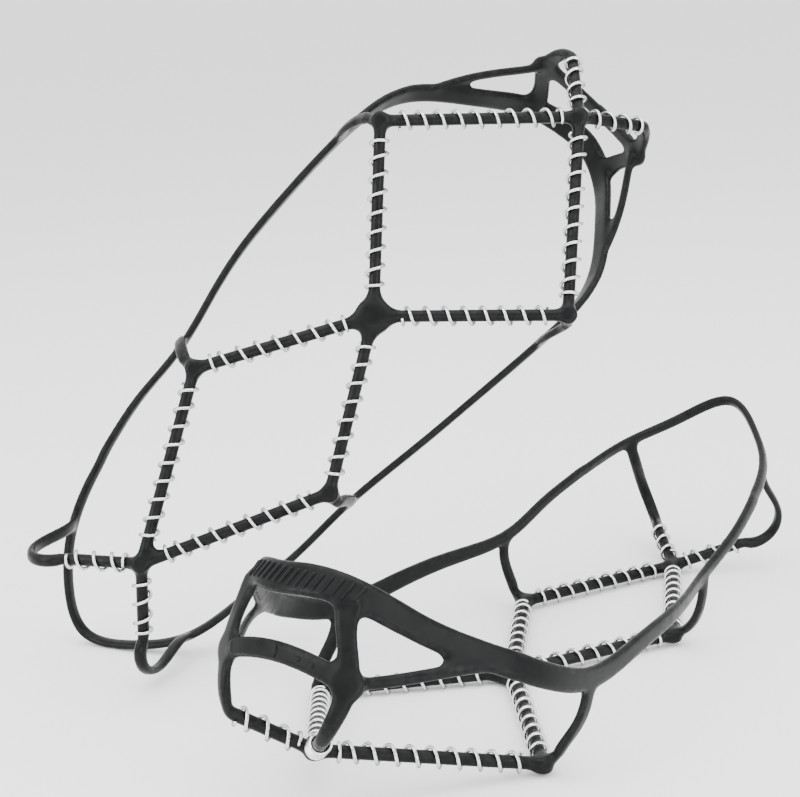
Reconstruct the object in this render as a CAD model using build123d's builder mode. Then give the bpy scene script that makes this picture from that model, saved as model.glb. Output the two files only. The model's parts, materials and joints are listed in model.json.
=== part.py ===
"""A pair of coil ice cleats, in the shape they hold when stretched over a pair of hiking shoes.

Each cleat is one black elastomer harness with steel coils wound loosely on its sole cords.
The left cleat stands upright on the ground. The right one leans over it, sole outwards,
with its heel on the ground.

Each cleat is drawn in its own frame: the hub under the ball of the foot is the origin,
+X points to the toe, +Z up into the shoe, and the outer side of the foot is +Y on the
left cleat and -Y on the right one. Units are millimetres.
"""
from build123d import *
import os
from math import floor

os.makedirs("parts", exist_ok=True)

# ---- Driving dimensions: the net of cords under the sole -------------------------------
front_reach = 52.0        # hub to the two front corners, along X
front_half = 50.0         # hub to the front corners, along Y
front_skew = 1.7          # the outer front corner sits this much further forward
toe_reach = 109.0         # hub to the toe crossing
toe_rise = 15.0           # the toe of the sole curves up by this much
toe_shift = 1.6           # toe crossing, towards the inner side of the foot
toe_leg_reach = 18.0      # toe crossing to the ends of its two legs
toe_leg_half = 19.5
toe_leg_rise = 16.0
rear_reach = 59.0         # hub to the two rear corners
rear_half = 34.0
heel_reach = 125.0        # hub to the heel crossing
heel_shift = 2.5          # heel crossing, towards the inner side of the foot
heel_leg_reach = 30.0     # heel crossing to the edge of the heel
heel_leg_half = 31.0
heel_leg_rise = 12.0
heel_leg_covered = 0.68   # share of a heel leg that is round cord, before it turns flat

# ---- Driving dimensions: the girdle round the shoe --------------------------------------
toe_top_height = 77.0     # middle of the upper toe band
toe_low_height = 55.5     # middle of the lower toe band
toe_junction_half = 25.0  # the two places where lower band, toe arm and strut meet
toe_junction_height = 49.5
outer_half = 60.5         # side band to the centre line, outer side of the ball
inner_half = 50.5         # the same on the inner side
outer_waist = 47.5        # side bands at the rear arms
inner_waist = 41.0
outer_bow = 2.5           # how late the side band turns in from ball to waist; 1 is straight
inner_bow = 1.1
side_height = 29.0        # side band above the cord plane, at the ball
waist_height = 28.0       # side bands at the rear arms
heel_half = 32.0          # side bands where the heel arms join them
heel_side_height = 47.0
heel_top_height = 62.0    # middle of the band behind the heel
heel_back = 46.0          # heel crossing to the band behind the heel, along X
heel_arm_back = 15.0      # heel crossing to the heel arm junctions, along X
arm_lean = 11.5           # a front arm leans back by this much from its corner
toe_steps = 18            # even steps along each zone's stretch of the girdle
side_steps = 14
heel_steps = 14
arm_steps = 6             # even steps along an arm, strut or the lower toe band

# ---- Driving dimensions: sections --------------------------------------------------------
cord_radius = 2.4
band_thickness = 3.0
arm_thickness = 2.8       # arms, struts and the lower toe band
edge_share = 0.42         # rounding along every strap's edges, as a share of its thickness
toe_band_width = 11.5
side_band_width = 8.5
rear_band_width = 5.4
arm_width = 6.4
strut_width = 4.4
low_band_width = 7.0
toe_pad_radius = 5.5      # the pads where lower band, toe arm and strut meet
hub_radius = 7.0
hub_half_height = cord_radius + 0.6
hub_neck = 5.0            # hub centre to the thick end of its star arms
hub_neck_size = (8.4, 2 * cord_radius + 0.6)
hub_arm = 9.0             # hub centre to where its star arms are down to cord size
hub_cap_radius = 4.6
corner_radius = 3.6       # round lumps where cords meet
corner_half_height = cord_radius + 0.4
hub_cap_height = 0.7

# ---- Driving dimensions: coils -----------------------------------------------------------
wire_radius = 0.625
coil_clearance = 0.15     # radial gap between a cord and its coil
coil_pitch = 6.7
hub_gap = hub_arm + 0.6             # coil end to the hub centre
corner_gap = corner_radius + 2.8    # coil end to a front corner or the toe crossing
rear_gap = corner_radius + 2.0      # coil end to a rear corner
heel_gap = corner_radius + 5.2      # heel diamond coils to the heel crossing
leg_gap = corner_radius + 1.4       # leg coils to their crossing
coil_end_gap = 1.5                  # leg coils to the end of the round cord

# ---- Driving dimensions: how the pair stands ----------------------------------------------
right_hub = Vector(4.0, -54.0, 136.0)           # right hub, from the left hub
right_toe_way = Vector(-0.610, 0.453, 0.650)    # where the right cleat's toe points
right_up_way = Vector(-0.755, -0.581, -0.303)   # where its upper side points

coil_radius = cord_radius + coil_clearance + wire_radius
# The straps face away from a line inside the shoe, the spine, between these two places.
spine_height = 30.0
spine_toe = toe_reach - 40.0
spine_heel = -heel_reach + 5.0


# ---- The points of the net ---------------------------------------------------------------
def net_points(side):
    """The eleven named points of the net; side is +1 for a left cleat, -1 for a right one."""
    toe = Vector(toe_reach, -toe_shift * side, toe_rise)
    heel = Vector(-heel_reach, -heel_shift * side, 0)
    toe_leg = Vector(toe_leg_reach, toe_leg_half, toe_leg_rise)
    return {
        "hub": Vector(0, 0, 0),
        "front_outer": Vector(front_reach + front_skew, (front_half - 1) * side, 0),
        "front_inner": Vector(front_reach - front_skew, -(front_half + 1) * side, 0),
        "toe": toe,
        "toe_outer": toe + Vector(toe_leg.X, toe_leg.Y * side, toe_leg.Z),
        "toe_inner": toe + Vector(toe_leg.X, -toe_leg.Y * side, toe_leg.Z),
        "rear_outer": Vector(-rear_reach - 1, rear_half * side, 0.5),
        "rear_inner": Vector(-rear_reach + 1, -rear_half * side, 0.5),
        "heel": heel,
        "heel_outer": Vector(-heel_reach - heel_leg_reach, heel_leg_half * side, heel_leg_rise),
        "heel_inner": Vector(-heel_reach - heel_leg_reach, -heel_leg_half * side, heel_leg_rise),
    }


# Every cord: its name, its two ends, and the bare length kept at each end.
cords = [
    ("hub_front_outer", "hub", "front_outer", hub_gap, corner_gap),
    ("hub_front_inner", "hub", "front_inner", hub_gap, corner_gap),
    ("hub_rear_outer", "hub", "rear_outer", hub_gap, rear_gap),
    ("hub_rear_inner", "hub", "rear_inner", hub_gap, rear_gap),
    ("toe_outer", "front_outer", "toe", corner_gap, corner_gap),
    ("toe_inner", "front_inner", "toe", corner_gap, corner_gap),
    ("toe_leg_outer", "toe", "toe_outer", leg_gap, coil_end_gap),
    ("toe_leg_inner", "toe", "toe_inner", leg_gap, coil_end_gap),
    ("heel_outer", "rear_outer", "heel", rear_gap, heel_gap),
    ("heel_inner", "rear_inner", "heel", rear_gap, heel_gap),
    ("heel_leg_outer", "heel", "heel_outer", leg_gap, coil_end_gap),
    ("heel_leg_inner", "heel", "heel_inner", leg_gap, coil_end_gap),
]


def cord_ends(points, name, first, last):
    """Start and end of a cord; a heel leg is round cord for its first share only."""
    start = points[first]
    end = points[last]
    if name.startswith("heel_leg"):
        end = start + (end - start) * heel_leg_covered
    return start, end


# ---- Sections ------------------------------------------------------------------------------
def outward(point):
    """Direction away from the middle of the foot, at a point of the harness."""
    along = min(max(point.X, spine_heel), spine_toe)
    return point - Vector(along, 0, spine_height)


def section_plane(point, way):
    """Plane across a strap: its X runs along the strap's width, its Z along the strap."""
    way = way.normalized()
    width_way = way.cross(outward(point)).normalized()
    return Plane(origin=point, x_dir=width_way, z_dir=way)


def line_through(points, closed=False):
    """A smooth curve through some points, like a rubber band that is held at them."""
    with BuildLine() as curve:
        Spline(*points, periodic=closed)
    return curve.edge()


def size_at(marks, place):
    """Width and thickness at a place on a line, between the sizes given at its marks."""
    for (before, first), (after, last) in zip(marks, marks[1:]):
        if place <= after:
            share = (place - before) / (after - before)
            return [low + (high - low) * share for low, high in zip(first, last)]
    return marks[-1][1]


def strap(line, marks, first, last, steps, first_way=None):
    """A moulded strap along part of a line, lofted through evenly spaced rounded sections."""
    with BuildPart() as moulding:
        for step in range(steps + 1):
            place = first + (last - first) * step / steps
            if place > 1:
                place -= 1
            way = line % place
            if step == 0 and first_way is not None:
                way = first_way
            width, thickness = size_at(marks, place)
            with BuildSketch(section_plane(line @ place, way)):
                RectangleRounded(width, thickness, edge_share * thickness)
        loft()
    return moulding.part


def arm(points, sizes, first_way=None):
    """A whole strap through some points, with a size at each of them."""
    line = line_through(points)
    places = [0.0] + [line.param_at_point(point) for point in points[1:-1]] + [1.0]
    return strap(line, list(zip(places, sizes)), 0, 1, arm_steps, first_way)


def pad(point, way, radius):
    """A flat round pad where straps meet, lying on the shoe like they do."""
    plane = section_plane(point, way)
    with BuildPart() as disc:
        with BuildSketch(Plane(origin=point, z_dir=plane.y_dir).offset(-band_thickness / 2)):
            Circle(radius)
        extrude(amount=band_thickness)
    return disc.part


# ---- The girdle round the shoe ---------------------------------------------------------------
def narrowed(reach, half):
    """Bring a place on the toe in when its side of the foot is narrower than the outer side."""
    return reach - (outer_half - half) * (reach / outer_half) ** 2


def toe_flank(side, half):
    """Points and widths of the upper toe band, from the middle of the toe to its seam."""
    shape = [
        (6.5, 0, 0, toe_band_width),
        (0.5, 21, 3.5, toe_band_width - 1),
        (-13.5, 36.5, 17.5, toe_band_width - 2),
        (-36.0, outer_half - 4, 33.5, side_band_width + 1),
    ]
    return [
        (Vector(toe_reach + ahead, narrowed(reach, half) * side, toe_top_height - drop), width)
        for ahead, reach, drop, width in shape
    ]


def side_flank(side, half, waist, bow, front_corner, rear_corner):
    """The side band, from the front arm to the rear arm."""
    front_x = front_corner.X - arm_lean
    flank = []
    for step in range(4):
        share = step / 3
        along = front_x + (rear_corner.X - front_x) * share
        reach = waist + (half - waist) * (1 - share**bow)
        height = side_height + (waist_height - side_height) * share
        width = side_band_width + (rear_band_width - side_band_width) * share
        flank.append((Vector(along, reach * side, height), width))
    return flank


def heel_flank(side, waist, rear_corner):
    """From behind the rear arm to the heel arm, and round the heel to its middle."""
    arm_x = -heel_reach - heel_arm_back
    flank = []
    for step in range(1, 4):
        share = step / 3
        along = rear_corner.X + (arm_x - rear_corner.X) * share
        reach = waist - (waist - heel_half) * share**2.2
        height = heel_side_height - (heel_side_height - waist_height) * (1 - share) ** 1.1
        flank.append(Vector(along, reach * side, height))
    half_up = (heel_side_height + heel_top_height) / 2
    flank.append(Vector(arm_x - 20, 0.55 * heel_half * side, half_up))
    flank.append(Vector(-heel_reach - heel_back, 0, heel_top_height))
    return [(point, rear_band_width) for point in flank]


def flank(side, half, waist, bow, front_corner, rear_corner):
    """One side of the girdle, from the middle of the toe to the middle of the heel."""
    stretch = toe_flank(side, half)
    stretch += side_flank(side, half, waist, bow, front_corner, rear_corner)
    return stretch + heel_flank(side, waist, rear_corner)


# Where the named places are in a flank's list.
seam_index = 3
front_index = 4
rear_index = 7
heel_seam_index = 9
heel_arm_index = 10


# ---- Arms from the net up to the girdle -----------------------------------------------------
# Widths and thicknesses of an arm's sections: at the cord, inside a lump, and at its neck.
root_size = (2 * cord_radius, 2 * cord_radius)
core_size = (4.0, 4.0)
neck_size = (5.2, 3.6)
toe_arm_sizes = [
    root_size,
    (arm_width - 0.4, 3.4),
    (arm_width + 1, arm_thickness),
    (arm_width + 0.5, arm_thickness),
    (arm_width + 2, arm_thickness),
]
heel_arm_sizes = [root_size, neck_size] + 3 * [(rear_band_width, arm_thickness)]


def front_arm(corner, side, half, end):
    """From beside a front corner, round the edge of the sole, up to the side band."""
    give = half - abs(corner.Y)
    points = [
        corner + Vector(-2, (0.2 * give + 2.2) * side, 3.6),
        corner + Vector(-3.6, (0.45 * give + 2) * side, 8.8),
        corner + Vector(-7, (0.75 * give + 1) * side, 14),
        corner + Vector(-10.2, 0.95 * give * side, 20.5),
        end,
    ]
    sizes = [neck_size, (arm_width - 0.6, 3.2)] + 3 * [(arm_width, arm_thickness)]
    return points, sizes


def rear_arm(corner, side, waist, end):
    """From beside a rear corner up to the side band."""
    give = waist - abs(corner.Y)
    points = [
        corner + Vector(-0.5, 4.7 * side, 2.7),
        corner + Vector(1.5, 0.8 * give * side, 10),
        corner + Vector(2.5, (give + 0.3) * side, 18),
        end,
    ]
    sizes = [neck_size, (rear_band_width, 3.2)] + 2 * [(rear_band_width, arm_thickness)]
    return points, sizes


def toe_arm(leg_end, side):
    """From the end of a toe leg up past the junction to the upper toe band."""
    return [
        leg_end,
        Vector(toe_reach + 17.2, (toe_junction_half - 2) * side, toe_junction_height - 10),
        Vector(toe_reach + 12.5, toe_junction_half * side, toe_junction_height),
        Vector(toe_reach + 9, (toe_junction_half - 2) * side, toe_junction_height + 11),
        Vector(toe_reach + 3, 19.5 * side, toe_top_height - 4),
    ]


def strut(side, half):
    """From the toe junction back to where the upper toe band meets the side band."""
    shape = [
        (12.5, toe_junction_half, 0),
        (4.0, 31, -1),
        (-4.0, 37.5, -1),
        (-14.0, 44.5, -1),
        (-25.0, outer_half - 10.5, -2.5),
    ]
    return [
        Vector(toe_reach + ahead, narrowed(reach, half) * side, toe_junction_height + up)
        for ahead, reach, up in shape
    ]


def low_band(side):
    """Across the front of the toe, from junction to junction."""
    outer = Vector(toe_reach + 12.5, toe_junction_half * side, toe_junction_height)
    outer_mid = Vector(toe_reach + 14.5, 13 * side, toe_low_height - 1.5)
    middle = Vector(toe_reach + 15, 0, toe_low_height)
    inner_mid = Vector(toe_reach + 14.5, -13 * side, toe_low_height - 1.5)
    inner = Vector(toe_reach + 12.5, -toe_junction_half * side, toe_junction_height)
    return [outer, outer_mid, middle, inner_mid, inner]


def heel_arm(cord_end, leg_end, side, end):
    """From the end of the round cord, round the heel's edge, up to the side band."""
    return [
        cord_end,
        leg_end + Vector(1, -1.5 * side, 0.2),
        leg_end + Vector(1.5, 1.5 * side, 8),
        leg_end + Vector(7, 1.2 * side, 18),
        end,
    ]


# ---- The five zones of one harness ------------------------------------------------------------
def sole_web(points, roots):
    """Hub, cords, and the corner lumps with short necks where the arms begin."""
    cord_list = [cord_ends(points, *cord[:3]) for cord in cords]
    with BuildPart() as web:
        with BuildSketch(Plane.XY.offset(-hub_half_height)):
            Circle(hub_radius)
        extrude(amount=2 * hub_half_height)
        with BuildSketch(Plane.XY.offset(-hub_half_height - hub_cap_height)):
            Circle(hub_cap_radius)
        extrude(amount=hub_cap_height)
        for start, end in cord_list:
            with BuildSketch(Plane(origin=start, z_dir=end - start)):
                Circle(cord_radius)
            extrude(amount=(end - start).length)
        for start, end in cord_list[:4]:
            way = (end - start).normalized()
            across = Vector(0, 0, 1).cross(way)
            with BuildSketch(Plane(origin=way * hub_neck, x_dir=across, z_dir=way)):
                RectangleRounded(*hub_neck_size, edge_share * hub_neck_size[1])
            with BuildSketch(Plane(origin=way * hub_arm, x_dir=across, z_dir=way)):
                RectangleRounded(*root_size, edge_share * root_size[1])
            loft()
        with Locations(points["toe"], points["heel"], *[corner for corner, plane in roots]):
            Cylinder(corner_radius, 2 * corner_half_height)
        for corner, plane in roots:
            with BuildSketch(Plane(origin=corner, x_dir=plane.x_dir, z_dir=plane.z_dir)):
                RectangleRounded(*core_size, edge_share * core_size[1])
            with BuildSketch(plane):
                RectangleRounded(*neck_size, edge_share * neck_size[1])
            loft()
    return web.part


def coil(start, end, gap_start, gap_end):
    """One steel coil, wound loosely on the straight cord from start to end."""
    way = (end - start).normalized()
    space = (end - start).length - gap_start - gap_end
    turns = floor(4 * (space - 2 * wire_radius) / coil_pitch) / 4
    height = turns * coil_pitch
    first = start + way * (gap_start + (space - height) / 2)
    with BuildPart() as spring:
        with BuildLine() as path:
            Helix(pitch=coil_pitch, height=height, radius=coil_radius, center=first, direction=way)
        with BuildSketch(Plane(origin=path.line @ 0, z_dir=path.line % 0)):
            Circle(wire_radius)
        sweep(path=path.line, is_frenet=True)
    return spring.part


def cleat(side):
    """All the pieces of one cleat in its own frame, by name."""
    points = net_points(side)

    # The girdle's line runs from the toe down the outer side, and back up the inner side.
    outer_corners = (points["front_outer"], points["rear_outer"])
    inner_corners = (points["front_inner"], points["rear_inner"])
    flanks = {
        "outer": flank(side, outer_half, outer_waist, outer_bow, *outer_corners),
        "inner": flank(-side, inner_half, inner_waist, inner_bow, *inner_corners),
    }
    held = flanks["outer"] + flanks["inner"][-2:0:-1]
    line = line_through([point for point, width in held], closed=True)
    places = [0.0] + [line.param_at_point(point) for point, width in held[1:]]
    sizes = [(width, band_thickness) for point, width in held]
    marks = list(zip(places, sizes)) + [(1.0, sizes[0])]
    seams = {"outer": places[seam_index], "inner": places[-seam_index]}
    heel_seams = {"outer": places[heel_seam_index], "inner": places[-heel_seam_index]}

    # Arms: a root beside each corner of the net, and a route up to the girdle.
    ends = {place: [point for point, width in flanks[place]] for place in flanks}
    outer_front, outer_rear = ends["outer"][front_index], ends["outer"][rear_index]
    inner_front, inner_rear = ends["inner"][front_index], ends["inner"][rear_index]
    arms = {
        "front_outer": front_arm(points["front_outer"], side, outer_half, outer_front),
        "front_inner": front_arm(points["front_inner"], -side, inner_half, inner_front),
        "rear_outer": rear_arm(points["rear_outer"], side, outer_waist, outer_rear),
        "rear_inner": rear_arm(points["rear_inner"], -side, inner_waist, inner_rear),
    }
    roots = [
        (points[name], section_plane(route[0], route[0] - points[name]))
        for name, (route, route_sizes) in arms.items()
    ]

    pieces = {"sole_web": sole_web(points, roots)}

    with BuildPart() as toe_web:
        add(strap(line, marks, seams["inner"], 1 + seams["outer"], toe_steps))
        add(arm(low_band(side), 5 * [(low_band_width, arm_thickness)]))
        for hand, half in ((side, outer_half), (-side, inner_half)):
            name = "toe_outer" if hand == side else "toe_inner"
            route = toe_arm(points[name], hand)
            add(arm(route, toe_arm_sizes, points[name] - points["toe"]))
            add(arm(strut(hand, half), 5 * [(strut_width, arm_thickness)]))
            add(pad(route[2], route[3] - route[1], toe_pad_radius))
    pieces["toe_web"] = toe_web.part

    for place in ("outer", "inner"):
        first, last = sorted((seams[place], heel_seams[place]))
        with BuildPart() as side_band:
            add(strap(line, marks, first, last, side_steps))
            for name in (f"front_{place}", f"rear_{place}"):
                route, route_sizes = arms[name]
                add(arm(route, route_sizes, route[0] - points[name]))
        pieces[f"side_band_{place}"] = side_band.part

    with BuildPart() as heel_web:
        add(strap(line, marks, heel_seams["outer"], heel_seams["inner"], heel_steps))
        for name, place, hand in (("heel_outer", "outer", side), ("heel_inner", "inner", -side)):
            start, end = cord_ends(points, "heel_leg", "heel", name)
            route = heel_arm(end, points[name], hand, ends[place][heel_arm_index])
            add(arm(route, heel_arm_sizes, end - start))
    pieces["heel_web"] = heel_web.part

    for name, first, last, gap_first, gap_last in cords:
        start, end = cord_ends(points, name, first, last)
        pieces[f"coil_{name}"] = coil(start, end, gap_first, gap_last)
    return pieces


# ---- The pair ------------------------------------------------------------------------------------
def lowest(shapes):
    """Height of the lowest point of some shapes."""
    return min(shape.bounding_box().min.Z for shape in shapes)


left_pieces = cleat(1)
right_pieces = cleat(-1)

right_side_way = right_up_way.cross(right_toe_way)
right_frame = Plane(origin=right_hub, x_dir=right_side_way.cross(right_up_way), z_dir=right_up_way)
right_pieces = {name: piece.moved(right_frame.location) for name, piece in right_pieces.items()}

# Both cleats touch the ground, Z = 0, and the origin is under the middle of the pair's box.
left_lift = Vector(0, 0, -lowest(left_pieces.values()))
right_lift = Vector(0, 0, -lowest(right_pieces.values()))
placed = {f"left_{name}": piece.moved(Location(left_lift)) for name, piece in left_pieces.items()}
for name, piece in right_pieces.items():
    placed[f"right_{name}"] = piece.moved(Location(right_lift))
boxes = [piece.bounding_box() for piece in placed.values()]
middle_x = (min(box.min.X for box in boxes) + max(box.max.X for box in boxes)) / 2
middle_y = (min(box.min.Y for box in boxes) + max(box.max.Y for box in boxes)) / 2
centring = Location((-middle_x, -middle_y, 0))

for name, piece in placed.items():
    with BuildPart() as node:
        add(piece.moved(centring))
    node.part.label = name
    export_step(node.part, f"parts/{name}.step")

print("left hub at", left_lift - Vector(middle_x, middle_y, 0))
print("right hub at", right_hub + right_lift - Vector(middle_x, middle_y, 0))
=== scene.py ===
# %% [markdown]
# # A pair of coil ice cleats
#
# Each cleat is an elastic harness, moulded in one piece, that is stretched over a shoe. Steel
# coils are wound loosely on the straight cords under its sole, and they bite into ice. This
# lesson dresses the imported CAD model: it fuses the CAD zones into one soft moulding, winds the
# coils from wire, and gives rubber and steel their finish. The first step is always the frame:
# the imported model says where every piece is, so nothing here is placed by eye.

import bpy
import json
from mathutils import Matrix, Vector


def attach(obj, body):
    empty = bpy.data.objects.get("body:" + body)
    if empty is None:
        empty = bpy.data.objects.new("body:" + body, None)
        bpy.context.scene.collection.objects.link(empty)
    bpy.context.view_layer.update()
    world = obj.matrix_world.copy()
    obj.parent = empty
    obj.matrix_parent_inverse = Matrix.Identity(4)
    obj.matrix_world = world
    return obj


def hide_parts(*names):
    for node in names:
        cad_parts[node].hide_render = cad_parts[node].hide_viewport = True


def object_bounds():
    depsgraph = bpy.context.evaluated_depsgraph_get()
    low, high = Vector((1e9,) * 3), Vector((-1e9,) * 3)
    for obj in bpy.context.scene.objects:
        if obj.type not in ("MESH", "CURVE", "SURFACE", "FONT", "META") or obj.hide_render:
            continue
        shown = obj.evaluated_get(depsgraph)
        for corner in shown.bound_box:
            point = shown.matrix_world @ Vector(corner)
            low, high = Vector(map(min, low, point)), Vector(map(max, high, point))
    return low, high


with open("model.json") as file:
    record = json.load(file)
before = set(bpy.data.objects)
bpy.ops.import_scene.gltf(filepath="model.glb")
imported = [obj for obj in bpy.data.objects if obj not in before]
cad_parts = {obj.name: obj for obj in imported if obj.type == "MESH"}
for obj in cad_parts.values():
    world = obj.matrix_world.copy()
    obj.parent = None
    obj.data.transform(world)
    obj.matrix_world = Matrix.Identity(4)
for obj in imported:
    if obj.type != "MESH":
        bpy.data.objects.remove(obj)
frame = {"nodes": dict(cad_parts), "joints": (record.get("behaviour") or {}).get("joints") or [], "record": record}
cad_low, cad_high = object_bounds()
print("CAD box, metres:", [round(high - low, 4) for low, high in zip(cad_low, cad_high)])

# %% [markdown]
# Blender's own modules come next. `bmesh` builds meshes point by point, numpy is quick on
# hundreds of thousands of points at once, and a BVH tree answers "where does this ray meet the
# surface?", which is how small details are laid on a curved band.

# %% Tools
import json
import math

import bmesh
import bpy
import numpy as np
from mathutils import Matrix, Quaternion, Vector
from mathutils.bvhtree import BVHTree

MM = 0.001                     # the frame is in metres, and small sizes read better in mm
joints = {joint["name"]: joint for joint in frame["joints"]}
mounts = {mount["name"]: mount for mount in frame["record"]["mounts"]}
zones = ("sole_web", "toe_web", "side_band_outer", "side_band_inner", "heel_web")

# %% [markdown]
# The two cleats are mirror images, and the right one leans in the air. It helps to have a
# frame for each cleat: its origin in the middle of the hub, X towards the toe, Z up into the
# shoe. The flat seat on the hub gives the origin and Z. The line from the heel coils to the toe
# coils gives X. A piece that is made for the left cleat then reaches the right one through
# `left_to_right`, a matrix that mirrors it and carries it across.

# %% The cleats' own frames
hub_half_height = 3.0 * MM


def cleat_frame(side):
    """Matrix from a cleat's own frame to the row frame."""
    seat = mounts[f"{side}_sole_rest"]
    up = Vector(seat["axis"]).normalized()
    toe_way = Vector()
    for place in ("outer", "inner"):
        toe_way += Vector(joints[f"{side}_toe_{place}_turn"]["pos_m"])
        toe_way -= Vector(joints[f"{side}_heel_{place}_turn"]["pos_m"])
    side_way = up.cross(toe_way).normalized()
    matrix = Matrix((side_way.cross(up), side_way, up)).transposed().to_4x4()
    matrix.translation = Vector(seat["pos_m"]) - up * hub_half_height
    return matrix


left_frame = cleat_frame("left")
right_frame = cleat_frame("right")
left_to_right = right_frame @ Matrix.Diagonal((1, -1, 1, 1)) @ left_frame.inverted()
print("left hub", [round(x, 4) for x in left_frame.translation])
print("right hub", [round(x, 4) for x in right_frame.translation])

# %% [markdown]
# ## Camera
# A short telephoto view from low in front of the toe, on the outer side of the left cleat. It is
# given as a place from the left hub, a compass direction, a tilt, and a small roll. The camera
# comes first, because every later choice of detail depends on how large a piece shows.

# %% Camera
camera_from_hub = Vector((474, 336, 268)) * MM
look_azimuth = math.radians(218.92)      # from +X towards +Y
look_elevation = math.radians(-15.45)
roll = math.radians(-3.06)
level = math.cos(look_elevation)
look = Vector((
    level * math.cos(look_azimuth),
    level * math.sin(look_azimuth),
    math.sin(look_elevation),
))
camera = bpy.data.objects.new("camera", bpy.data.cameras.new("camera"))
camera.data.sensor_width = 36
camera.data.lens = 76.2
camera.data.clip_start = 0.01
camera.location = left_frame.translation + camera_from_hub
camera.rotation_mode = "QUATERNION"
camera.rotation_quaternion = look.to_track_quat("-Z", "Y") @ Quaternion((0, 0, 1), roll)
bpy.context.scene.collection.objects.link(camera)
bpy.context.scene.camera = camera
print("camera at", [round(x, 3) for x in camera.location])

# %% [markdown]
# ## The rubber harness
# The real harness comes out of its mould as one piece, with a soft flare wherever two straps
# meet. The CAD zones have the right straps in the right places, but they meet in sharp creases.
#
# Bevelling creases between lofts is fragile. A sturdier way is borrowed from image work and is
# called closing: swell the whole shape, fuse it, and shrink it back by the same amount. Open
# stretches come back as they were, but a crease that was filled stays filled, and it becomes a
# fillet as large as the swelling. In Blender that is a Remesh modifier in voxel mode between
# two Displace modifiers.

# %% Copy, fuse and fillet
voxel = 0.55 * MM
weld_distance = 0.001 * MM
relax_before_swelling = 2
relax_before_shrinking = 4


def put_in_scene(name, mesh):
    """A new object with this mesh, linked to the scene."""
    piece = bpy.data.objects.new(name, mesh)
    bpy.context.scene.collection.objects.link(piece)
    return piece


def joined_copy(name, meshes):
    """One object with copies of some meshes, whose split edges are welded again."""
    work = bmesh.new()
    for mesh in meshes:
        work.from_mesh(mesh)
    bmesh.ops.remove_doubles(work, verts=work.verts, dist=weld_distance)
    mesh = bpy.data.meshes.new(name)
    work.to_mesh(mesh)
    work.free()
    return put_in_scene(name, mesh)


def keep_modified(piece):
    """Give a piece the mesh that its modifiers make, and drop the modifiers."""
    graph = bpy.context.evaluated_depsgraph_get()
    made = bpy.data.meshes.new_from_object(piece.evaluated_get(graph))
    before = piece.data
    piece.modifiers.clear()
    piece.data = made
    bpy.data.meshes.remove(before)


def add_remesh(piece, size):
    """Fuse everything in a piece into one skin of even quads."""
    remesh = piece.modifiers.new("fuse", "REMESH")
    remesh.mode = "VOXEL"
    remesh.voxel_size = size
    remesh.use_smooth_shade = True


def add_swell(piece, amount):
    """Move every point along its normal, outwards if amount is positive."""
    displace = piece.modifiers.new("swell", "DISPLACE")
    displace.strength = amount
    displace.mid_level = 0


def add_relax(piece, rounds):
    """Take the steps of the voxels out of a mesh."""
    smooth = piece.modifiers.new("relax", "SMOOTH")
    smooth.factor = 0.5
    smooth.iterations = rounds


def close_creases(piece, fillet, size):
    """Fuse a piece and fill its creases with fillets of about this radius."""
    add_remesh(piece, size)
    add_relax(piece, relax_before_swelling)
    add_swell(piece, fillet)
    add_remesh(piece, size)
    add_relax(piece, relax_before_shrinking)
    add_swell(piece, -fillet)
    add_remesh(piece, size)
    keep_modified(piece)


# %% [markdown]
# Plain smoothing thins a cord, because it pulls every point inwards. Taubin's remedy is to
# follow each pull by a slightly stronger push. Small steps are gone after a few rounds, and the
# cord keeps its thickness. numpy's `bincount` adds up each point's neighbours in one call.

# %% Smoothing that keeps the thickness
pull_in = 0.5
push_out = -0.53


def neighbours(mesh):
    """For each mesh edge, both ways: the point, the point at its other end, and the counts."""
    pairs = np.empty(len(mesh.edges) * 2, np.int64)
    mesh.edges.foreach_get("vertices", pairs)
    pairs = pairs.reshape(-1, 2)
    here = np.concatenate([pairs[:, 0], pairs[:, 1]])
    there = np.concatenate([pairs[:, 1], pairs[:, 0]])
    return here, there, np.maximum(np.bincount(here, minlength=len(mesh.vertices)), 1)


def mean_of_neighbours(values, here, there, counts):
    """Average of each point's neighbours, for an array of one row per point."""
    columns = [
        np.bincount(here, weights=values[there, axis], minlength=len(values))
        for axis in range(values.shape[1])
    ]
    return np.stack(columns, axis=1) / counts[:, None]


def points_of(mesh):
    """The mesh's points as an array."""
    flat = np.empty(len(mesh.vertices) * 3)
    mesh.vertices.foreach_get("co", flat)
    return flat.reshape(-1, 3)


def even_out(mesh, rounds):
    """Take the small steps out of a mesh without thinning it."""
    links = neighbours(mesh)
    place = points_of(mesh)
    for _ in range(rounds):
        for step in (pull_in, push_out):
            place += step * (mean_of_neighbours(place, *links) - place)
    mesh.vertices.foreach_set("co", place.ravel())
    mesh.update()


# %% [markdown]
# The cords of the net are thin and close to the coils, so their fillets are small. The girdle
# has wide straps and generous corners. Each is closed with its own radius, and then the two are
# fused with a small one. Only the left harness is made. The right one is its mirror image.

# %% Mould the left harness
girdle_fillet = 1.6 * MM
net_fillet = 1.5 * MM
join_fillet = 1.0 * MM
even_rounds = 12

girdle = joined_copy("girdle", [frame["nodes"][f"left_{zone}"].data for zone in zones[1:]])
close_creases(girdle, girdle_fillet, voxel)
net = joined_copy("net", [frame["nodes"]["left_sole_web"].data])
close_creases(net, net_fillet, voxel)
harness = joined_copy("left_harness_moulding", [girdle.data, net.data])
close_creases(harness, join_fillet, voxel)
even_out(harness.data, even_rounds)
for scrap in (girdle, net):
    bpy.data.objects.remove(scrap)
print("left harness:", len(harness.data.polygons), "faces")

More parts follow.
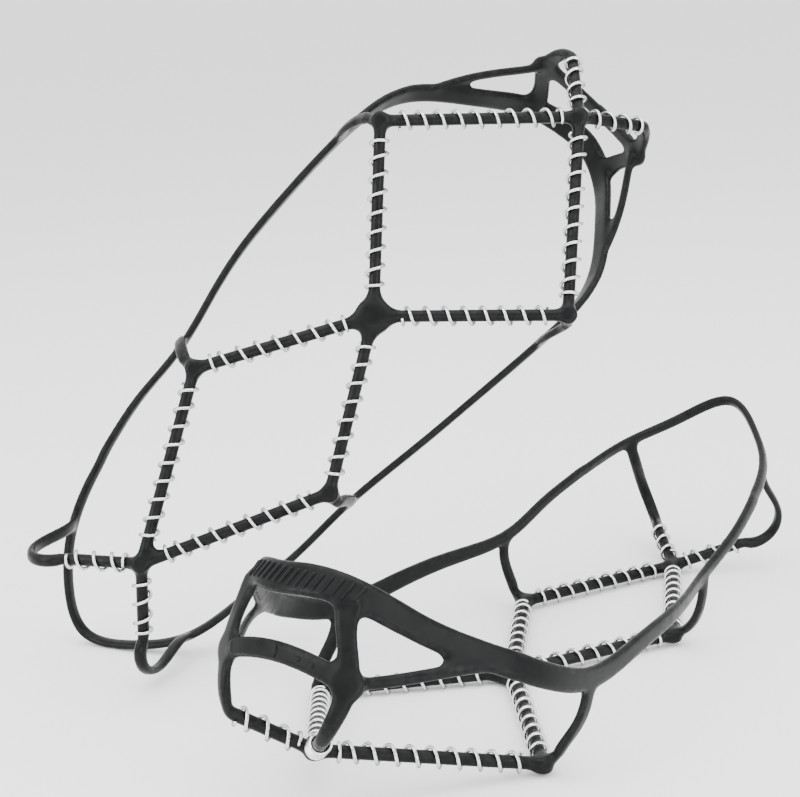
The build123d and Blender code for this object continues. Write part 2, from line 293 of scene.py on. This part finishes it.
# %% [markdown]
# ## Raised marks on the toe
# The upper toe band carries a row of raised slanting ribs, a plain stand-in for a moulded mark.
# The lower band has a low raised panel with a rounded end, and two small
# domes beside it. All of them are beads: a flattened cushion that runs along a few points of
# the surface. A ray from outside finds those points, and the surface's normal tells the bead
# which way is up.

# %% Find places on the rubber
toe_band_line = [              # middle of the upper toe band, in mm in the cleat's own frame
    (95.5, -32.9, 59.5),
    (109.5, -19.8, 73.5),
    (115.5, 0, 77),
    (109.5, 21, 73.5),
    (95.5, 36.5, 59.5),
]
low_band_line = [
    (121.5, -25, 49.5),
    (123.5, -13, 54),
    (124, 0, 55.5),
    (123.5, 13, 54),
    (121.5, 25, 49.5),
]
spine = Vector((69, 0, 30)) * MM       # inside the shoe; the bands face away from it
ray_run = 12 * MM                      # rays start this far outside the middle of a band
skin = BVHTree.FromObject(harness, bpy.context.evaluated_depsgraph_get())


def band_place(line, across_foot):
    """Point in the middle of a band, in the cleat's own frame, at a distance across the foot."""
    ahead, across, height = zip(*line)
    curve = [np.polyfit(across, values, len(line) - 1) for values in (ahead, height)]
    ahead, height = (np.polyval(terms, across_foot / MM) for terms in curve)
    return Vector((ahead * MM, across_foot, height * MM))


def on_skin(place):
    """Where the outer surface is, seen along the line from a place to the spine."""
    out_way = (left_frame.to_3x3() @ (place - spine)).normalized()
    start = left_frame @ place + out_way * ray_run
    hit, normal, _, _ = skin.ray_cast(start, -out_way)
    return hit, normal


# %% Make a bead
def skin_over(work, rings):
    """Join rings of points into a tube, and close its two ends."""
    around = len(rings[0])
    for first, second in zip(rings, rings[1:]):
        for step in range(around):
            after = (step + 1) % around
            work.faces.new((first[step], first[after], second[after], second[step]))
    work.faces.new(reversed(rings[0]))
    work.faces.new(rings[-1])


smallest_share = 0.02          # a bead's ends are this share of the way to a point
shoulder = 1.4                 # how soon a bead reaches its full height behind its ends


def rounded(value, flatness):
    """A cosine or sine bent towards a square. A flatness of 2 leaves it as it was."""
    return math.copysign(abs(value) ** (2 / flatness), value)


def bead(work, places, half_width, height, flatness=2.0, around=16):
    """Add a raised bead along some places to a bmesh. A flatness over 2 squares its section."""
    spots = [on_skin(place) for place in places]
    steps = [(after[0] - before[0]).length for before, after in zip(spots, spots[1:])]
    last = len(steps)
    rings = []
    for index, (hit, normal) in enumerate(spots):
        ahead = spots[min(index + 1, last)][0] - spots[max(index - 1, 0)][0]
        across = normal.cross(ahead).normalized()
        to_end = min(sum(steps[:index]), sum(steps[index:]))
        share = min(1.0, max(to_end / half_width, smallest_share))
        full = math.sqrt(1 - (1 - share) ** 2)
        ring = []
        for step in range(around):
            angle = 2 * math.pi * step / around
            aside = half_width * full * rounded(math.cos(angle), flatness)
            rise = height * min(1.0, full * shoulder) * rounded(math.sin(angle), flatness)
            ring.append(work.verts.new(hit + across * aside + normal * rise))
        rings.append(ring)
    skin_over(work, rings)


def finished(name, work):
    """An object from a bmesh, with its faces turned outwards and shaded smooth."""
    bmesh.ops.recalc_face_normals(work, faces=work.faces)
    mesh = bpy.data.meshes.new(name)
    work.to_mesh(mesh)
    work.free()
    for polygon in mesh.polygons:
        polygon.use_smooth = True
    return put_in_scene(name, mesh)


# %% Ribs, panel and domes of the left cleat
rib_reach = 21.75 * MM         # the row of ribs ends here on both sides of the toe
rib_gap = 2.9 * MM
rib_half_length = 3.1 * MM
rib_slant = 1.1 * MM           # how far a rib leans to one side over its half length
rib_half_width = 0.62 * MM
rib_height = 0.55 * MM
rib_stations = np.linspace(-1, 1, 13)

work = bmesh.new()
rib_count = int(2 * rib_reach / rib_gap) + 1
for rib in range(rib_count):
    middle = -rib_reach + rib * rib_gap
    centre = band_place(toe_band_line, middle)
    beside = band_place(toe_band_line, middle + 1 * MM)
    width_way = (beside - centre).cross(centre - spine).normalized()
    places = []
    for share in rib_stations:
        foot = band_place(toe_band_line, middle + share * rib_slant)
        places.append(foot - width_way * share * rib_half_length)
    bead(work, places, rib_half_width, rib_height)
ribs = finished("left_toe_ribs", work)

panel_stations = np.linspace(0.5, -21, 44) * MM      # across the foot, towards the inner side
panel_half_width = 2.5 * MM
panel_height = 0.5 * MM
dome_middles = (8.5 * MM, 13.5 * MM)
dome_radius = 0.9 * MM
dome_height = 0.45 * MM

work = bmesh.new()
panel_places = [band_place(low_band_line, across) for across in panel_stations]
bead(work, panel_places, panel_half_width, panel_height, flatness=5, around=24)
for middle in dome_middles:
    stations = np.linspace(middle - dome_radius, middle + dome_radius, 9)
    bead(work, [band_place(low_band_line, across) for across in stations], dome_radius, dome_height)
panel = finished("left_toe_panel", work)
print(rib_count, "ribs")

# %% [markdown]
# The right cleat's soft pieces are mirrored copies. Mirroring turns a mesh inside out, so its
# faces are flipped back. The hidden CAD zones stay in the model for collision.

# %% Mirror to the right cleat, and ride on the bodies
def mirrored(piece, name):
    """The right cleat's copy of a left piece."""
    mesh = piece.data.copy()
    mesh.transform(left_to_right)
    mesh.flip_normals()
    return put_in_scene(name, mesh)


soft_pieces = {"left": [harness, ribs, panel], "right": []}
for piece in soft_pieces["left"]:
    soft_pieces["right"].append(mirrored(piece, piece.name.replace("left", "right")))
for side, pieces in soft_pieces.items():
    for piece in pieces:
        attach(piece, f"{side}_harness")
    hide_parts(*[f"{side}_{zone}" for zone in zones])

# %% [markdown]
# ## The steel coils
# Each coil is one length of round wire, wound wide enough to turn loosely on its cord. Its open
# turns are evenly spaced, and its end turns are wound almost closed, so that the wire's cut ends
# don't dig into the rubber. The CAD coil gives the length and the joint gives the axis. The wire
# is swept round that axis as a mesh tube, whose rings follow the helix.

# %% Wind a coil
wire_radius = 0.625 * MM
coil_radius = 3.175 * MM       # cord axis to the middle of the wire
open_pitch = 6.7 * MM
closed_pitch = 1.5 * MM        # spacing of the end turns
closed_turns = 0.45
easing_turns = 0.35            # turns over which the spacing opens up
cut_end_share = 0.72           # the wire's cut ends are dressed to this share of its thickness
coil_stagger = 2.4             # radians from one coil's start to the next one's
ring_points = 12
steps_per_turn = 30


def coil_rise(turns, length):
    """Height along the axis after each turn: slow at both ends, steady between."""
    pace = np.full_like(turns, 1.0)
    for from_end in (turns, turns[-1] - turns):
        share = np.clip((from_end - closed_turns) / easing_turns, 0, 1)
        pace *= share * share * (3 - 2 * share)
    slow = np.concatenate([[0], np.cumsum((pace[1:] + pace[:-1]) / 2 * np.diff(turns))])
    steady = closed_pitch * turns
    return steady + (length - steady[-1]) * slow / slow[-1]


def wind(name, middle, axis, length, phase):
    """A coil of wire about an axis through a middle, with rounded cut ends."""
    side_way = axis.orthogonal().normalized()
    other_way = axis.cross(side_way)
    turn_count = 2 * closed_turns + (length - 2 * closed_turns * closed_pitch) / open_pitch
    turns = np.linspace(0, turn_count, int(turn_count * steps_per_turn))
    rise = coil_rise(turns, length)
    line = []
    for turn, height in zip(turns, rise):
        angle = 2 * math.pi * turn + phase
        out_way = side_way * math.cos(angle) + other_way * math.sin(angle)
        line.append((middle + axis * (height - length / 2) + out_way * coil_radius, out_way))
    work = bmesh.new()
    rings = []
    last = len(line) - 1
    for index, (point, out_way) in enumerate(line):
        way = (line[min(index + 1, last)][0] - line[max(index - 1, 0)][0]).normalized()
        up_way = way.cross(out_way).normalized()
        from_end = min(index, last - index)
        radius = wire_radius * (cut_end_share if from_end == 0 else 1.0)
        ring = []
        for step in range(ring_points):
            angle = 2 * math.pi * step / ring_points
            spoke = out_way * math.cos(angle) + up_way * math.sin(angle)
            ring.append(work.verts.new(point + spoke * radius))
        rings.append(ring)
    skin_over(work, rings)
    return finished(name, work)


# %% Wind all the coils
coil_nodes = sorted(name for name in frame["nodes"] if "_coil_" in name)
coils = []
for number, node in enumerate(coil_nodes):
    joint = joints[node.replace("_coil", "") + "_turn"]
    axis = Vector(joint["axis"]).normalized()
    middle = Vector(joint["pos_m"])
    reach = [(vertex.co - middle).dot(axis) for vertex in frame["nodes"][node].data.vertices]
    length = max(reach) - min(reach) - 2 * wire_radius
    middle += axis * (max(reach) + min(reach)) / 2
    coil = wind(f"{node}_wire", middle, axis, length, phase=number * coil_stagger)
    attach(coil, node)
    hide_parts(node)
    coils.append(coil)
print(len(coils), "coils,", sum(len(coil.data.polygons) for coil in coils), "faces")

# %% [markdown]
# ## Worn and sheltered places
# Handling rubs the edges of rubber smooth and pale, and dust stays in the creases. Both follow
# the curvature. A point that stands out from its smoothed neighbourhood is on an edge, and one
# that lies below it is in a crease. That is worked out once and kept on the mesh as a value
# called "ridge", from 0 in a crease through 0.5 on flat rubber to 1 on an edge. It has a limit: a
# thin strap or round cord stands out on every side, so it counts as an edge all over. The mean
# printed below is well over 0.5 for that reason, and the worn tone is kept faint.

# %% Measure ridges
ridge_height = 0.45 * MM       # standing out by this much counts as fully on an edge
harness_rounds = 14
raised_rounds = 3              # the ribs and the panel are small, so a few rounds see them whole


def store_ridge(piece, rounds, full_height):
    """Keep how far each point stands out from its smoothed surroundings, from 0 to 1."""
    mesh = piece.data
    links = neighbours(mesh)
    place = points_of(mesh)
    soft = place.copy()
    for _ in range(rounds):
        soft = mean_of_neighbours(soft, *links)
    normals = np.empty(len(mesh.vertices) * 3, np.float32)
    mesh.vertex_normals.foreach_get("vector", normals)
    stand = np.sum((place - soft) * normals.reshape(-1, 3), axis=1)
    value = np.clip(0.5 + 0.5 * stand / full_height, 0, 1).astype(np.float32)
    mesh.attributes.new("ridge", "FLOAT", "POINT").data.foreach_set("value", value)
    return float(value.mean())


for side, pieces in soft_pieces.items():
    for piece in pieces:
        rounds = harness_rounds if piece is pieces[0] else raised_rounds
        print(piece.name, "mean ridge", round(store_ridge(piece, rounds, ridge_height), 3))

# %% [markdown]
# ## Shader groups
# Two finishes share three effects, so each effect is a node group with named inputs. A group
# only puts out masks and heights. The shader itself stays in the material, where its own
# sockets hold whatever is the same all over.
#
# - *fine grain* is the skin of the mould or the drawing marks of the wire, as a height.
# - *rubbed edges* turns the ridge value into a mask that noise breaks up.
# - *dust film* gathers in creases and on faces that look up.

# %% Helpers for node trees
def new_group(name, inputs, outputs):
    """A shader node group with named value sockets, and its input and output nodes."""
    group = bpy.data.node_groups.new(name, "ShaderNodeTree")
    for label, kind, value in inputs:
        socket = group.interface.new_socket(label, in_out="INPUT", socket_type=kind)
        if value is not None:
            socket.default_value = value
    for label, kind in outputs:
        group.interface.new_socket(label, in_out="OUTPUT", socket_type=kind)
    return group, group.nodes.new("NodeGroupInput"), group.nodes.new("NodeGroupOutput")


def feed(tree, socket, value):
    """Link a socket to an input if that is what the value is, or else set the input to it."""
    if isinstance(value, bpy.types.NodeSocket):
        tree.links.new(value, socket)
    else:
        socket.default_value = value


def add_node(tree, kind, settings=None, **values):
    """A node of a kind, with some settings, and values or links for its named inputs."""
    node = tree.nodes.new(kind)
    for key, value in (settings or {}).items():
        setattr(node, key, value)
    for key, value in values.items():
        feed(tree, node.inputs[key.replace("_", " ")], value)
    return node


def add_math(tree, operation, first, second=0.0, clamp=False):
    """The result of one sum on two values or sockets."""
    node = tree.nodes.new("ShaderNodeMath")
    node.operation = operation
    node.use_clamp = clamp
    for socket, value in zip(node.inputs, (first, second)):
        feed(tree, socket, value)
    return node.outputs[0]


def add_range(tree, value, low, high, to_low=0.0, to_high=1.0):
    """A value mapped from one range to another, eased at both ends."""
    settings = {"interpolation_type": "SMOOTHSTEP"}
    node = add_node(tree, "ShaderNodeMapRange", settings, Value=value)
    node.inputs["From Min"].default_value = low
    node.inputs["From Max"].default_value = high
    node.inputs["To Min"].default_value = to_low
    node.inputs["To Max"].default_value = to_high
    return node.outputs["Result"]


# %% Group: fine grain
value_kind = "NodeSocketFloat"
vector_kind = "NodeSocketVector"
grain, source, sink = new_group(
    "fine grain",
    [("Vector", vector_kind, None), ("Fine Scale", value_kind, 2600.0),
     ("Coarse Scale", value_kind, 240.0), ("Coarse Share", value_kind, 0.5)],
    [("Height", value_kind), ("Patches", value_kind)],
)
fine = add_node(grain, "ShaderNodeTexNoise", Vector=source.outputs["Vector"],
                Scale=source.outputs["Fine Scale"], Detail=3.0, Roughness=0.6)
coarse = add_node(grain, "ShaderNodeTexNoise", Vector=source.outputs["Vector"],
                  Scale=source.outputs["Coarse Scale"], Detail=4.0, Roughness=0.55)
waves = add_math(grain, "MULTIPLY", coarse.outputs["Fac"], source.outputs["Coarse Share"])
height = add_math(grain, "ADD", fine.outputs["Fac"], waves)
grain.links.new(height, sink.inputs["Height"])
grain.links.new(coarse.outputs["Fac"], sink.inputs["Patches"])

# %% Group: rubbed edges
rubbed, source, sink = new_group(
    "rubbed edges",
    [("Vector", vector_kind, None), ("Ridge", value_kind, 0.5), ("Start", value_kind, 0.56),
     ("Full", value_kind, 0.85), ("Noise Scale", value_kind, 420.0)],
    [("Mask", value_kind)],
)
mask = add_node(rubbed, "ShaderNodeMapRange", {"interpolation_type": "SMOOTHSTEP"},
                Value=source.outputs["Ridge"])
rubbed.links.new(source.outputs["Start"], mask.inputs["From Min"])
rubbed.links.new(source.outputs["Full"], mask.inputs["From Max"])
speckle = add_node(rubbed, "ShaderNodeTexNoise", Vector=source.outputs["Vector"],
                   Scale=source.outputs["Noise Scale"], Detail=5.0, Roughness=0.65)
broken = add_range(rubbed, speckle.outputs["Fac"], 0.36, 0.66)
rubbed.links.new(add_math(rubbed, "MULTIPLY", mask.outputs["Result"], broken),
                 sink.inputs["Mask"])

# %% Group: dust film
dust, source, sink = new_group(
    "dust film",
    [("Vector", vector_kind, None), ("Ridge", value_kind, 0.5), ("Amount", value_kind, 0.5),
     ("Noise Scale", value_kind, 90.0)],
    [("Mask", value_kind)],
)
facing = add_node(dust, "ShaderNodeNewGeometry")
split = add_node(dust, "ShaderNodeSeparateXYZ", Vector=facing.outputs["Normal"])
lying = add_range(dust, split.outputs["Z"], -0.1, 1.0, 0.25, 1.0)
crease = add_range(dust, source.outputs["Ridge"], 0.5, 0.3, 0.45, 1.0)
cloud = add_node(dust, "ShaderNodeTexNoise", Vector=source.outputs["Vector"],
                 Scale=source.outputs["Noise Scale"], Detail=6.0, Roughness=0.6)
patchy = add_range(dust, cloud.outputs["Fac"], 0.35, 0.7, 0.2, 1.0)
film = add_math(dust, "MULTIPLY", add_math(dust, "MULTIPLY", lying, crease), patchy)
film = add_math(dust, "MULTIPLY", film, source.outputs["Amount"], clamp=True)
dust.links.new(film, sink.inputs["Mask"])
print("groups:", [group.name for group in bpy.data.node_groups])

# %% [markdown]
# ## Moulded rubber
# The rubber is charcoal with a cool green-grey cast. Broad faces are satin, so a softbox draws a
# wide dull highlight on them. Edges that hands and snow rub are a little paler and smoother. A
# thin dust film takes the shine off the creases.

# %% Material: moulded rubber
def new_material(name):
    """A material with an empty Principled shader, and the shader and its tree."""
    material = bpy.data.materials.new(name)
    material.use_nodes = True
    tree = material.node_tree
    shader = tree.nodes["Principled BSDF"]
    return material, tree, shader


def place_group(tree, group, **values):
    """Put a group in a tree, with values or links for its named inputs."""
    node = tree.nodes.new("ShaderNodeGroup")
    node.node_tree = group
    for key, value in values.items():
        feed(tree, node.inputs[key.replace("_", " ")], value)
    return node


def blend_colours(tree, mask, first, second):
    """A colour that goes from the first to the second as the mask goes from 0 to 1."""
    node = tree.nodes.new("ShaderNodeMix")
    node.data_type = "RGBA"
    tree.links.new(mask, node.inputs["Factor"])
    feed(tree, node.inputs["A"], first)
    feed(tree, node.inputs["B"], second)
    return node.outputs["Result"]


def rubber(name, deep, pale, worn, base_roughness):
    """Moulded rubber in three tones: in patches from deep to pale, and worn along edges."""
    material, tree, shader = new_material(name)
    place = add_node(tree, "ShaderNodeTexCoord").outputs["Object"]
    ridge = add_node(tree, "ShaderNodeAttribute", {"attribute_name": "ridge"}).outputs["Fac"]
    skin_grain = place_group(tree, grain, Vector=place)
    worn_mask = place_group(tree, rubbed, Vector=place, Ridge=ridge).outputs["Mask"]
    dust_mask = place_group(tree, dust, Vector=place, Ridge=ridge, Amount=0.06).outputs["Mask"]
    patches = add_range(tree, skin_grain.outputs["Patches"], 0.3, 0.7)
    colour = blend_colours(tree, patches, deep, pale)
    colour = blend_colours(tree, worn_mask, colour, worn)
    colour = blend_colours(tree, dust_mask, colour, (0.05, 0.052, 0.05, 1))
    tree.links.new(colour, shader.inputs["Base Color"])
    rough = add_range(tree, skin_grain.outputs["Patches"], 0.3, 0.7,
                      base_roughness - 0.05, base_roughness + 0.07)
    smoother = add_math(tree, "MULTIPLY", worn_mask, -0.1)
    rough = add_math(tree, "ADD", rough, smoother)
    duller = add_math(tree, "MULTIPLY", dust_mask, 0.3)
    tree.links.new(add_math(tree, "ADD", rough, duller, clamp=True), shader.inputs["Roughness"])
    shader.inputs["Specular IOR Level"].default_value = 0.11
    bump = add_node(tree, "ShaderNodeBump", Height=skin_grain.outputs["Height"], Strength=0.35,
                    Distance=0.05 * MM)
    tree.links.new(bump.outputs["Normal"], shader.inputs["Normal"])
    return material


moulded_rubber = rubber("moulded rubber", (0.0022, 0.0026, 0.0028, 1),
                        (0.0036, 0.0041, 0.0043, 1), (0.008, 0.009, 0.0095, 1), 0.34)
raised_rubber = rubber("raised rubber", (0.0028, 0.0032, 0.0034, 1),
                       (0.0044, 0.0050, 0.0052, 1), (0.010, 0.011, 0.0115, 1), 0.32)
for pieces in soft_pieces.values():
    pieces[0].data.materials.clear()
    pieces[0].data.materials.append(moulded_rubber)
    for piece in pieces[1:]:
        piece.data.materials.clear()
        piece.data.materials.append(raised_rubber)

# %% [markdown]
# ## Plated wire
# The wire is bright plated steel, drawn through a die. The plating is slightly uneven, and the
# outside of each turn is scratched where it walks on ice and stone. The scratches show as a
# rougher, greyer band on the outer side, which the distance from the coil's axis gives. That
# distance is stored on each coil, because the material can't know where its axis is. The pale
# surroundings leave the wire without dark reflections. So its flanks are darkened where they turn
# away from the viewer, which is a choice of look and not something that steel does by itself.

# %% Store how far out each point of a coil lies
for coil, node in zip(coils, coil_nodes):
    joint = joints[node.replace("_coil", "") + "_turn"]
    axis = np.array(Vector(joint["axis"]).normalized())
    away = points_of(coil.data) - np.array(joint["pos_m"])
    away -= np.outer(away @ axis, axis)
    distance = np.linalg.norm(away, axis=1)
    value = np.clip((distance - coil_radius) / wire_radius * 0.5 + 0.5, 0, 1).astype(np.float32)
    coil.data.attributes.new("ridge", "FLOAT", "POINT").data.foreach_set("value", value)


# %% Material: plated wire
wire, tree, shader = new_material("plated wire")
place = add_node(tree, "ShaderNodeTexCoord").outputs["Object"]
ridge = add_node(tree, "ShaderNodeAttribute", {"attribute_name": "ridge"}).outputs["Fac"]
drawn = place_group(tree, grain, Vector=place, Fine_Scale=3400.0, Coarse_Scale=520.0)
scratched = place_group(tree, rubbed, Vector=place, Ridge=ridge, Start=0.72, Full=0.98,
                        Noise_Scale=1500.0).outputs["Mask"]
dulled = place_group(tree, dust, Vector=place, Ridge=ridge, Amount=0.22).outputs["Mask"]
patches = add_range(tree, drawn.outputs["Patches"], 0.3, 0.7)
colour = blend_colours(tree, patches, (0.74, 0.75, 0.76, 1), (0.92, 0.92, 0.91, 1))
colour = blend_colours(tree, scratched, colour, (0.48, 0.48, 0.47, 1))
colour = blend_colours(tree, dulled, colour, (0.40, 0.39, 0.37, 1))
turning_away = add_node(tree, "ShaderNodeLayerWeight", Blend=0.5).outputs["Facing"]
dark_flank = add_range(tree, turning_away, 0.4, 0.85)
colour = blend_colours(tree, dark_flank, colour, (0.02, 0.021, 0.023, 1))
tree.links.new(colour, shader.inputs["Base Color"])
shine = add_range(tree, drawn.outputs["Patches"], 0.3, 0.7, 0.16, 0.28)
rough = add_math(tree, "ADD", shine, add_math(tree, "MULTIPLY", scratched, 0.22))
tree.links.new(rough, shader.inputs["Roughness"])
shader.inputs["Metallic"].default_value = 1.0
bump = add_node(tree, "ShaderNodeBump", Height=drawn.outputs["Height"], Strength=0.25,
                Distance=0.02 * MM)
tree.links.new(bump.outputs["Normal"], shader.inputs["Normal"])
for coil in coils:
    coil.data.materials.clear()
    coil.data.materials.append(wire)
print("materials:", [material.name for material in (moulded_rubber, raised_rubber, wire)])

# %% [markdown]
# ## Floor and light
# A plain pale floor and large soft lamps, as in a photographer's light tent. Black rubber is
# mostly seen by what it reflects, so the lamps are placed for their reflections: a big one
# overhead, a wide one on the left, and a strip on the right that draws the edges.

# %% Floor
def plain_material(name, colour, roughness):
    """A matt material of one colour, for what isn't part of the object."""
    material, _, shader = new_material(name)
    shader.inputs["Base Color"].default_value = colour
    shader.inputs["Roughness"].default_value = roughness
    return material


work = bmesh.new()
bmesh.ops.create_circle(work, cap_ends=True, segments=96, radius=14)
floor = finished("floor", work)
floor.data.materials.append(plain_material("pale floor", (0.93, 0.93, 0.93, 1), 0.95))


# %% Lamps
def soft_lamp(name, place, aim, width, height, watts):
    """A rectangular area lamp at a place, facing another place."""
    data = bpy.data.lights.new(name, "AREA")
    data.shape = "RECTANGLE"
    data.size = width
    data.size_y = height
    data.energy = watts
    lamp = bpy.data.objects.new(name, data)
    lamp.location = place
    lamp.rotation_mode = "QUATERNION"
    lamp.rotation_quaternion = (Vector(aim) - Vector(place)).to_track_quat("-Z", "Y")
    bpy.context.scene.collection.objects.link(lamp)


middle = (cad_low + cad_high) / 2
soft_lamp("overhead softbox", (0.1, 0.1, 1.1), middle, 1.2, 1.2, 14)
soft_lamp("left softbox", (1.0, -0.35, 0.65), middle, 0.7, 0.9, 9)
soft_lamp("right strip", (0.15, 1.1, 0.55), middle, 0.35, 1.0, 6)
soft_lamp("low fill", (0.9, 0.8, 0.15), middle, 0.9, 0.25, 3)
world = bpy.data.worlds.new("light tent")
world.use_nodes = True
world.node_tree.nodes["Background"].inputs["Color"].default_value = (1.0, 1.0, 1.0, 1)
world.node_tree.nodes["Background"].inputs["Strength"].default_value = 1.9
bpy.context.scene.world = world
